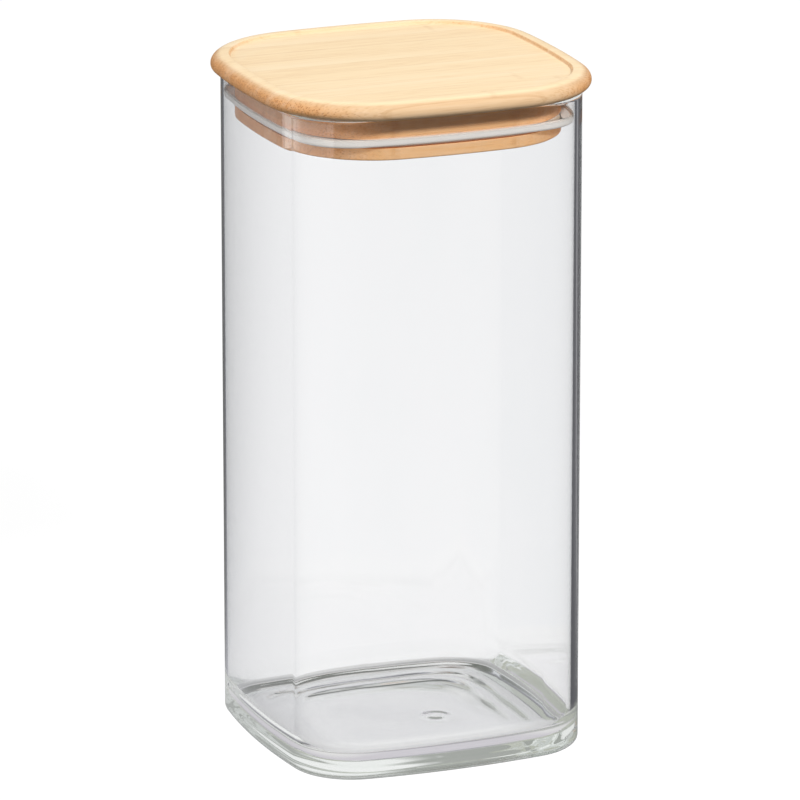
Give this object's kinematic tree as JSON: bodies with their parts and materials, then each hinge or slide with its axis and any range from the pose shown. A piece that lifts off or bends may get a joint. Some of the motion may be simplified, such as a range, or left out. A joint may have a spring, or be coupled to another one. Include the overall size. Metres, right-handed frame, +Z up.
{
  "type": "glass storage jar with bamboo lid",
  "caption": "Tall square clear-glass storage jar with rounded corners and a thick floor, closed by an overhanging bamboo lid with a recessed top, a plug and a silicone seal; it lifts off.",
  "frame": {"origin": "middle of the jar's foot, on the surface it stands on", "axes": "+Z up out of the jar's mouth; X and Y square to the four sides, with the lid's bamboo grain along X"},
  "size_m": [0.1046, 0.1046, 0.21],
  "materials": {
    "glass": "clear blown borosilicate glass, smooth",
    "bamboo": "pale laminated bamboo, sanded and oiled, satin",
    "bamboo_plug": "laminated bamboo, sanded and oiled, satin",
    "silicone": "translucent white silicone, soft satin"
  },
  "bodies": {
    "jar": {"glass_jar": "glass"},
    "lid": {"lid_board": "bamboo", "lid_plug": "bamboo_plug", "silicone_seal": "silicone"}
  },
  "joints": [
    {"name": "lid_lift", "type": "slide", "parent": "jar", "child": "lid", "axis": [0, 0, 1], "range_m": [0, 0.06]}
  ]
}
